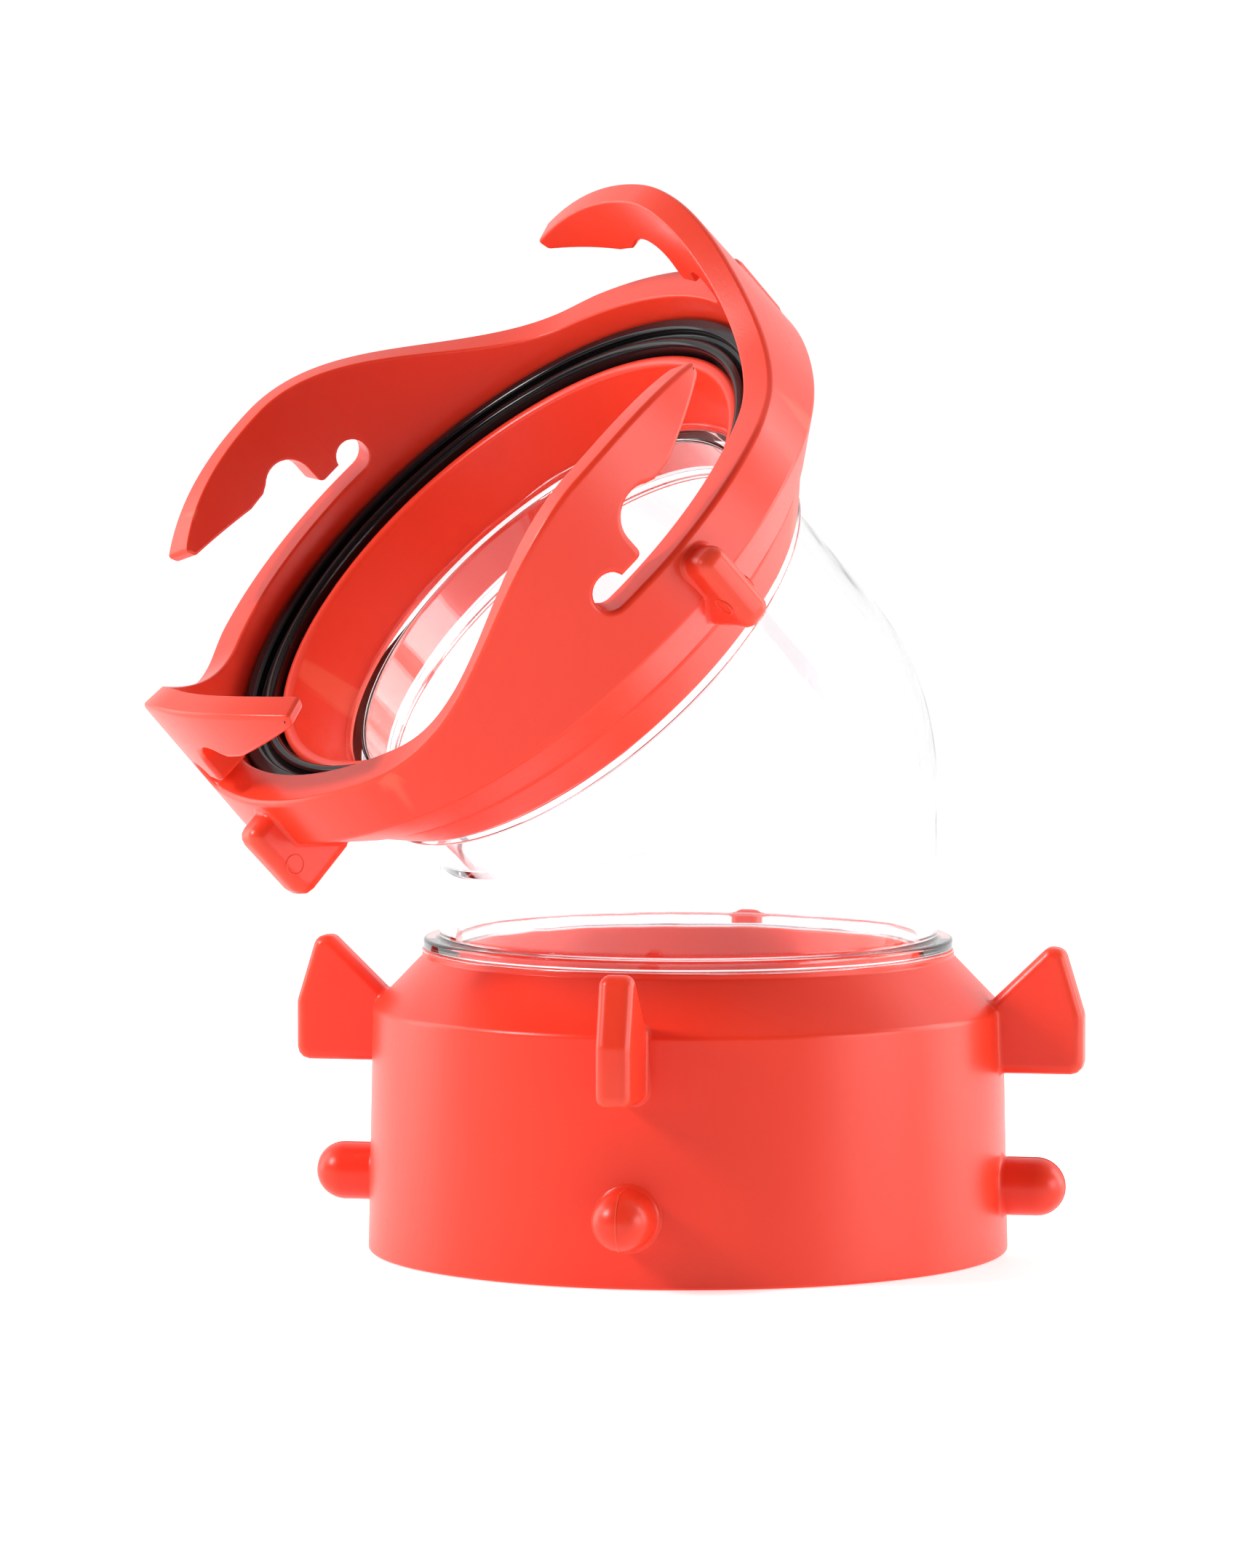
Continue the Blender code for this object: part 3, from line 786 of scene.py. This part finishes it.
@dataclass
class HookRing:
    """The red ring that turns on the hub: web, chamfer, wall with flats, four hooks, four fins."""

    axis: Axis
    bore: float = 46.0
    inner: float = 50.3
    outer: float = 57.0
    rear: float = 36.8
    rear_radius: float = 49.4
    web_front: float = 41.2
    wall_rear: float = 44.5
    join: float = 49.5
    draft_start: float = 48.0
    inner_draft: float = 0.07
    outer_draft: float = 0.03
    floor: float = 53.1
    crest: float = 72.3
    column: float = 1.25
    columns_before: int = 41
    first_hook: float = 77.0
    root_angle: float = -46.0
    crest_angle: float = 7.5
    tip_angle: float = 36.8
    tip_drop: float = 4.2
    tip_curve: float = 2.5
    tip_depth: float = 1.9
    tip_lean: float = 1.0
    nib_angle: float = 16.8
    nib_flat: float = 3.7
    nib_level: float = 62.7
    relief_radius: float = 2.8
    tongue_level: float = 56.5
    seat_angle: float = 12.2
    seat_radius: float = 4.5
    seat_level: float = 59.9
    flat_centre: float = -26.0
    flat_half: float = 25.4
    flat_depth: float = 1.2
    back_steps: int = 60
    outer_edge: float = 0.9
    inner_edge: float = 0.45
    fin_angle: float = 13.0
    fin_reach: float = 62.0
    fin_front: float = 51.1
    fin_thickness: float = 5.3
    fin_edge: float = 2.2
    mark_place: Point = (59.4, 42.5)
    mark_radius: float = 1.5
    mark_proud: float = 0.1
    fillet: float = 0.8

    def flat(self, angle: float) -> float:
        """How far the wall's outside is cut back at an angle round the ring, in millimetres."""
        from_centre = (angle - self.first_hook - self.flat_centre + 45.0) % 90.0 - 45.0
        share = min(1.0, abs(from_centre) / self.flat_half)
        if from_centre > 0.0:
            return self.flat_depth * (1.0 + math.cos(math.pi * share)) / 2.0
        return self.flat_depth * (1.0 - share * share)

    def inside(self, level: float) -> float:
        """The wall's inner radius at a level, with its draft."""
        return self.inner + self.inner_draft * max(0.0, level - self.draft_start)

    def outside(self, level: float, angle: float) -> float:
        """The wall's outer radius at a level and an angle, with its draft and its flats."""
        return self.outer - self.flat(angle) - self.outer_draft * max(0.0, level - self.wall_rear)

    def hook_back(self, angle: float) -> float:
        """The height of a hook's back: a cosine ramp to the crest, then a fall to the tip."""
        if angle <= self.root_angle:
            return self.floor
        if angle <= self.crest_angle:
            phase = math.pi * (self.crest_angle - angle) / (self.crest_angle - self.root_angle)
            return self.floor + (self.crest - self.floor) * (1.0 + math.cos(phase)) / 2.0
        share = (angle - self.crest_angle) / (self.tip_angle - self.crest_angle)
        return self.crest - self.tip_drop * share**self.tip_curve

    def sector_outline(self, degree: float) -> list[Point]:
        """The outline of the wall's upper part over one hook.

        Args:
            degree: The length of a degree of turn on the flattened wall.

        Returns:
            The outline as (length along the wall, height), with spare below and at both ends.
        """
        spare = 2.0
        start = -self.columns_before * self.column
        spare_left, spare_right = (start - spare) * degree, (start + 90.0 + spare) * degree
        spare_low = self.join - 3.0
        seat_x = self.seat_angle * degree
        tip_level = self.hook_back(self.tip_angle)
        relief = arc((0.0, self.floor + self.relief_radius), self.relief_radius, 270.0, 15.0, 20)
        seat = arc((seat_x, self.seat_level), self.seat_radius, 180.0, 50.0, 12)
        swing = self.root_angle - self.tip_angle
        back = [self.tip_angle + swing * i / self.back_steps for i in range(1, self.back_steps + 1)]
        return rounded([
            Corner(spare_left, spare_low), Corner(spare_right, spare_low), Corner(spare_right, self.floor),
            *relief[:-1], Corner(relief[-1].x, self.tongue_level),
            Corner(seat_x - self.seat_radius, self.tongue_level, 1.0), *seat,
            Corner(self.nib_angle * degree, self.nib_level),
            Corner((self.nib_angle + self.nib_flat) * degree, self.nib_level, 1.0),
            Corner((self.tip_angle - self.tip_lean) * degree, tip_level - self.tip_depth, 1.0),
            Corner(self.tip_angle * degree, tip_level, 1.0),
            *[Corner(angle * degree, self.hook_back(angle)) for angle in back],
            Corner(spare_left, self.floor)])

    def sector(self) -> bmesh.types.BMesh:
        """The wall's upper part over one hook: a flat plate with rounded rims, in columns, wrapped round."""
        thickness = self.outer - self.inner
        degree = math.radians(1.0) * (self.inner + self.outer) / 2.0
        bm = bmesh.new()
        bm.faces.new([bm.verts.new((x, y, 0.0)) for x, y in self.sector_outline(degree)])
        grown = bmesh.ops.extrude_face_region(bm, geom=list(bm.faces))
        bmesh.ops.translate(bm, verts=new_verts(grown), vec=(0.0, 0.0, thickness))
        bmesh.ops.recalc_face_normals(bm, faces=bm.faces)
        for level, edge, segments in ((thickness, self.outer_edge, EDGE_SEGMENTS), (0.0, self.inner_edge, 3)):
            rim = [e for e in bm.edges if all(abs(vert.co.z - level) < 1e-4 for vert in e.verts)]
            bmesh.ops.bevel(bm, geom=rim, offset=edge, offset_type="OFFSET", segments=segments, profile=0.5,
                            affect="EDGES", clamp_overlap=False, material=-1)
        columns = int(90.0 / self.column)
        for index in range(columns + 1):
            place = (index - self.columns_before) * self.column * degree
            bmesh.ops.bisect_plane(bm, geom=list(bm.verts) + list(bm.edges) + list(bm.faces), dist=1e-5,
                                   plane_co=(place, 0, 0), plane_no=(1, 0, 0), clear_inner=index == 0,
                                   clear_outer=index == columns)
        bmesh.ops.bisect_plane(bm, geom=list(bm.verts) + list(bm.edges) + list(bm.faces), dist=1e-5,
                               plane_co=(0, self.join, 0), plane_no=(0, 1, 0), clear_inner=True)
        for vert in bm.verts:
            angle = self.first_hook + vert.co.x / degree
            within = self.inside(vert.co.y)
            radius = within + (self.outside(vert.co.y, angle) - within) * vert.co.z / thickness
            turn = math.radians(angle)
            vert.co = (radius * math.cos(turn), radius * math.sin(turn), vert.co.y)
        return bm

    def skirt(self) -> bmesh.types.BMesh:
        """The turned lower part, open at the join, with the flats and their chamfer cut back."""
        outline = rounded([
            Corner(self.inside(self.join), self.join), Corner(self.inner, self.draft_start),
            Corner(self.inner, self.web_front, 0.7),
            Corner(self.bore, self.web_front, 0.4), Corner(self.bore, self.rear, 0.4),
            Corner(self.rear_radius, self.rear, 0.25), Corner(self.outer, self.wall_rear, 1.1),
            Corner(self.outer, self.join)], closed=False)
        bm = spin(outline, int(360.0 / self.column), closed=False)
        slope = (self.wall_rear - self.rear) / (self.outer - self.rear_radius)
        for vert in bm.verts:
            angle = self.first_hook + math.degrees(math.atan2(vert.co.y, vert.co.x))
            radius = vert.co.xy.length
            if radius > self.outer - 1.5:
                cut = self.flat(angle)
                radius -= self.outer - self.outside(vert.co.z, angle)
                if vert.co.z < self.join - 1.0:
                    vert.co.z -= cut * slope
            turn = math.radians(angle)
            vert.co = (radius * math.cos(turn), radius * math.sin(turn), vert.co.z)
        return bm

    def fin(self, ground: BVHTree) -> bmesh.types.BMesh:
        """One grip fin along its own radius, over the wall and the chamfer, with an ejector pin's mark."""
        lift = self.fillet
        root = self.outer + lift
        outline = [Corner(root, self.fin_front), Corner(self.fin_reach, self.fin_front, 2.2),
                   Corner(self.fin_reach, self.rear, 2.6), Corner(self.rear_radius + 1.6, self.rear),
                   Corner(root, self.wall_rear - 0.4)]
        bm = plate(outline, self.fin_thickness, self.fin_edge,
                   lambda middle: middle.x < root + 0.01 and middle.z > self.rear + 0.3)
        bmesh.ops.rotate(bm, verts=bm.verts, cent=(0, 0, 0),
                         matrix=Matrix.Rotation(math.radians(self.first_hook + self.fin_angle), 3, "Z"))
        bmesh.ops.recalc_face_normals(bm, faces=bm.faces)
        blend_foot(bm, ground, lift)
        marks = self.ejector_marks()
        add_copy(bm, marks, Matrix.Rotation(math.radians(self.first_hook + self.fin_angle), 4, "Z"))
        marks.free()
        return bm

    def ejector_marks(self) -> bmesh.types.BMesh:
        """The faint raised ring that an ejector pin leaves on each side of a fin."""
        section = arc((self.mark_radius, 0.0), self.mark_proud, 0.0, 315.0, 7)
        circle = spin([(corner.x, corner.y) for corner in section], 32)
        upright = Matrix.Rotation(math.pi / 2, 4, "X")
        radius, level = self.mark_place
        bm = bmesh.new()
        for side in (-1.0, 1.0):
            add_copy(bm, circle, Matrix.Translation((radius, side * self.fin_thickness / 2, level)) @ upright)
        circle.free()
        return bm

    def build(self, material: bpy.types.Material) -> bpy.types.Object:
        """Makes the whole moulding."""
        bm = self.skirt()
        upper = self.sector()
        for turn in quarter_turns(0.0):
            add_copy(bm, upper, turn)
        upper.free()
        tidy(bm)
        LOG.info("ring body: %d open edges", sum(e.is_boundary for e in bm.edges))
        fin = self.fin(BVHTree.FromBMesh(bm))
        for turn in quarter_turns(0.0):
            add_copy(bm, fin, turn)
        fin.free()
        return settle("hook_ring", bm, self.axis, material, Body.RING, Slot.RED, "bayonet_ring")


@dataclass
class CementBead:
    """Hardened clear cement that was squeezed out of a socket, in an uneven bead."""

    name: str
    axis: Axis
    radius: float
    height: float
    size: float
    waves: tuple[tuple[int, float, float], ...] = (
        (3, 0.35, 0.4), (7, 0.25, 1.9), (13, 0.2, 4.0), (29, 0.12, 2.2))

    def build(self, material: bpy.types.Material) -> bpy.types.Object:
        """Makes the bead."""
        circle = arc((self.radius, self.height), self.size, 0.0, 324.0, 9)
        profile = [(corner.x, corner.y) for corner in circle]
        bm = spin(profile, 240)
        for vert in bm.verts:
            turn = math.atan2(vert.co.y, vert.co.x)
            swell = 1.0 + sum(depth * math.sin(count * turn + phase) for count, depth, phase in self.waves)
            shift = 0.35 * self.size * math.sin(5 * turn + 1.0) + 0.25 * self.size * math.sin(17 * turn)
            flat = vert.co.xy.normalized() * (self.radius + (vert.co.xy.length - self.radius) * swell)
            vert.co = (flat.x, flat.y, self.height + (vert.co.z - self.height) * swell + shift)
        return settle(self.name, bm, self.axis, material, Body.FITTING, Slot.CLEAR)


# ---------------------------------------------------------------- the studio


@dataclass(frozen=True)
class Lamp:
    """A soft box, placed in metres to the right of, beyond and above the collar's foot."""

    name: str
    right: float
    beyond: float
    up: float
    size: Point
    power: float


@dataclass
class Studio:
    """A plain white floor, four soft boxes at the sides, a white room and the camera."""

    axis: Axis
    camera_from_axis: tuple[float, float, float] = (-0.62937, -0.98077, 0.15565)
    looking: tuple[float, float, float] = (0.53188, 0.84385, -0.07101)
    lens: float = 171.92
    floor_radius: float = 6.0
    floor_drop: float = 0.0001
    floor_shades: Point = (0.80, 0.83)
    floor_glow: float = 0.56
    aim_height: float = 0.08
    room_facing: Point = (-0.42, 0.6)
    room_strength: Point = (0.06, 1.05)
    room_seen: float = 1.05
    lamps: tuple[Lamp, ...] = (
        Lamp("left_key", -0.85, -0.3, 0.55, (0.2, 0.2), 7.0),
        Lamp("left_wall", -0.8, 0.3, 0.25, (0.4, 0.9), 3.6),
        Lamp("right_wall", 0.8, 0.25, 0.25, (0.4, 0.9), 4.8),
        Lamp("right_key", 0.85, -0.35, 0.1, (0.5, 0.5), 4.4))

    def floor(self) -> None:
        """A wide pale disc under the collar."""
        bm = bmesh.new()
        bmesh.ops.create_circle(bm, cap_ends=True, segments=96, radius=self.floor_radius)
        bmesh.ops.translate(bm, verts=bm.verts, vec=(0.0, 0.0, -self.floor_drop))
        mesh = bpy.data.meshes.new("floor")
        bm.to_mesh(mesh)
        bm.free()
        graph = Graph(bpy.data.materials.new("white_floor"))
        dark, light = ((shade, shade, shade, 1.0) for shade in self.floor_shades)
        mesh.materials.append(graph.finish(graph.node("ShaderNodeBsdfPrincipled", {}, {
            "Base Color": graph.colours(graph.noise(3.0), dark, light), "Roughness": 0.6,
            "Specular IOR Level": 0.2, "Emission Color": WHITE, "Emission Strength": self.floor_glow})))
        floor = bpy.data.objects.new("floor", mesh)
        bpy.context.scene.collection.objects.link(floor)

    def hang(self, lamp: Lamp) -> None:
        """Makes a soft box that faces the middle of the object."""
        light = bpy.data.lights.new(lamp.name, "AREA")
        light.shape = "RECTANGLE"
        light.size, light.size_y = lamp.size
        light.energy = lamp.power
        box = bpy.data.objects.new(lamp.name, light)
        ahead = Vector(self.looking).normalized()
        up = Vector((0.0, 0.0, 1.0))
        right = ahead.cross(up).normalized()
        box.location = self.axis.origin + right * lamp.right + ahead * lamp.beyond + up * lamp.up
        aim = self.axis.origin + up * self.aim_height
        box.rotation_euler = (aim - box.location).to_track_quat("-Z", "Y").to_euler()
        bpy.context.scene.collection.objects.link(box)

    def room(self) -> None:
        """A room that is plain white where it is seen, and lights the object least from behind the camera."""
        world = bpy.data.worlds.new("white_room")
        bpy.context.scene.world = world
        graph = Graph(world)
        ahead = Vector(self.looking).normalized()
        way = graph.node("ShaderNodeTexCoord", output="Generated")
        facing = graph.node("ShaderNodeVectorMath", {"operation": "DOT_PRODUCT"},
                            {0: way, 1: (ahead.x, ahead.y, 0.0)}, output="Value")
        strength = graph.node("ShaderNodeMapRange", {}, {
            "Value": facing, "From Min": self.room_facing[0], "From Max": self.room_facing[1],
            "To Min": self.room_strength[0], "To Max": self.room_strength[1]}, output="Result")
        room = graph.node("ShaderNodeBackground", {}, {"Color": WHITE, "Strength": strength})
        seen = graph.node("ShaderNodeBackground", {}, {"Color": WHITE, "Strength": self.room_seen})
        straight = graph.node("ShaderNodeLightPath", output="Is Camera Ray")
        through = graph.node("ShaderNodeLightPath", output="Is Transmission Ray")
        direct = graph.node("ShaderNodeMath", {"operation": "MAXIMUM"}, {0: straight, 1: through})
        graph.finish(graph.node("ShaderNodeMixShader", {}, {0: direct, 1: room, 2: seen}),
                     "ShaderNodeOutputWorld")

    def camera(self) -> None:
        """The camera."""
        data = bpy.data.cameras.new("camera")
        data.lens = self.lens
        data.clip_start, data.clip_end = 0.05, 40.0
        camera = bpy.data.objects.new("camera", data)
        camera.location = self.axis.origin + Vector(self.camera_from_axis)
        camera.rotation_euler = Vector(self.looking).to_track_quat("-Z", "Y").to_euler()
        bpy.context.scene.collection.objects.link(camera)
        bpy.context.scene.camera = camera

    def build(self) -> None:
        """Sets the whole studio up."""
        self.camera()
        self.floor()
        for lamp in self.lamps:
            self.hang(lamp)
        self.room()
        bpy.context.scene.view_settings.view_transform = "Standard"


def main() -> None:
    """Builds the studio and the pieces."""
    logging.basicConfig(level=logging.INFO, format="%(name)s: %(message)s")
    upright, swivel = collar_axis(), swivel_axis()
    Studio(upright).build()
    red, rubber = RedPlastic().material(), BlackRubber().material()
    clear = ClearPlastic().material()
    cement = ClearPlastic("clear_cement", tint=(0.96, 0.94, 0.96, 1.0), roughness=0.12, haze=0.2,
                          wave=0.0006).material()
    bend_height = (swivel.origin.z - upright.origin.z) / MM
    Collar(upright).build(red)
    Elbow(upright, bend_height).build(clear)
    Hub(swivel).build(red)
    Gasket(swivel).build(rubber)
    HookRing(swivel).build(red)
    CementBead("hub_cement", swivel, radius=39.0, height=36.15, size=0.3).build(cement)
    CementBead("collar_cement", upright, radius=41.4, height=47.0, size=0.14).build(cement)


if __name__ == "__main__":
    main()
